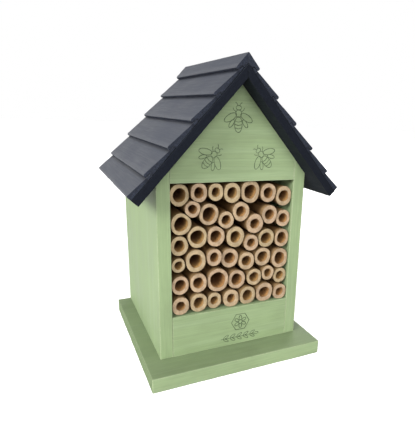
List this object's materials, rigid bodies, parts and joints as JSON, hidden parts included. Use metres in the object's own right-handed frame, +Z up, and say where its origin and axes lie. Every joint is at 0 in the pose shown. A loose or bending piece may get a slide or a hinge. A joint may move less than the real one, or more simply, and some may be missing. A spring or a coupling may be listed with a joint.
{
  "type": "insect hotel",
  "caption": "Small gabled wooden insect house on a base plate, with a slatted pitched roof and an open front packed with bamboo nesting tubes.",
  "frame": {"origin": "middle of the footprint, on the surface that the base plate stands on", "axes": "+Z up, +X to the right seen from the front, +Y from the front to the back"},
  "size_m": [0.165, 0.148, 0.2369],
  "materials": {
    "green_paint": "light green paint, matt, on sawn boards",
    "roof_paint": "dark slate-blue paint, matt",
    "bare_wood": "bare softwood",
    "bamboo": "dry sawn bamboo, satin skin",
    "zinc_steel": "zinc-plated steel",
    "painted_steel": "steel brads painted over with the walls"
  },
  "bodies": {
    "root": {"base_plate": "green_paint", "left_wall": "green_paint", "right_wall": "green_paint", "front_sill_board": "green_paint", "front_gable_board": "green_paint", "back_panel": "green_paint", "chamber_floor": "bare_wood", "chamber_ceiling": "bare_wood", "left_roof_board": "roof_paint", "right_roof_board": "roof_paint", "left_roof_slats": "roof_paint", "right_roof_slats": "roof_paint", "base_screws": "zinc_steel", "wall_brads": "painted_steel", "roof_brads": "zinc_steel", "hanger_plate": "zinc_steel", "hanger_screws": "zinc_steel", "tube_01": "bamboo", "tube_02": "bamboo", "tube_03": "bamboo", "tube_04": "bamboo", "tube_05": "bamboo", "tube_06": "bamboo", "tube_07": "bamboo", "tube_08": "bamboo", "tube_09": "bamboo", "tube_10": "bamboo", "tube_11": "bamboo", "tube_12": "bamboo", "tube_13": "bamboo", "tube_14": "bamboo", "tube_15": "bamboo", "tube_16": "bamboo", "tube_17": "bamboo", "tube_18": "bamboo", "tube_19": "bamboo", "tube_20": "bamboo", "tube_21": "bamboo", "tube_22": "bamboo", "tube_23": "bamboo", "tube_24": "bamboo", "tube_25": "bamboo", "tube_26": "bamboo", "tube_27": "bamboo", "tube_28": "bamboo", "tube_29": "bamboo", "tube_30": "bamboo", "tube_31": "bamboo", "tube_32": "bamboo", "tube_33": "bamboo", "tube_34": "bamboo", "tube_35": "bamboo", "tube_36": "bamboo", "tube_37": "bamboo", "tube_38": "bamboo", "tube_39": "bamboo", "tube_40": "bamboo", "tube_41": "bamboo", "tube_42": "bamboo", "tube_43": "bamboo"}
  },
  "joints": []
}
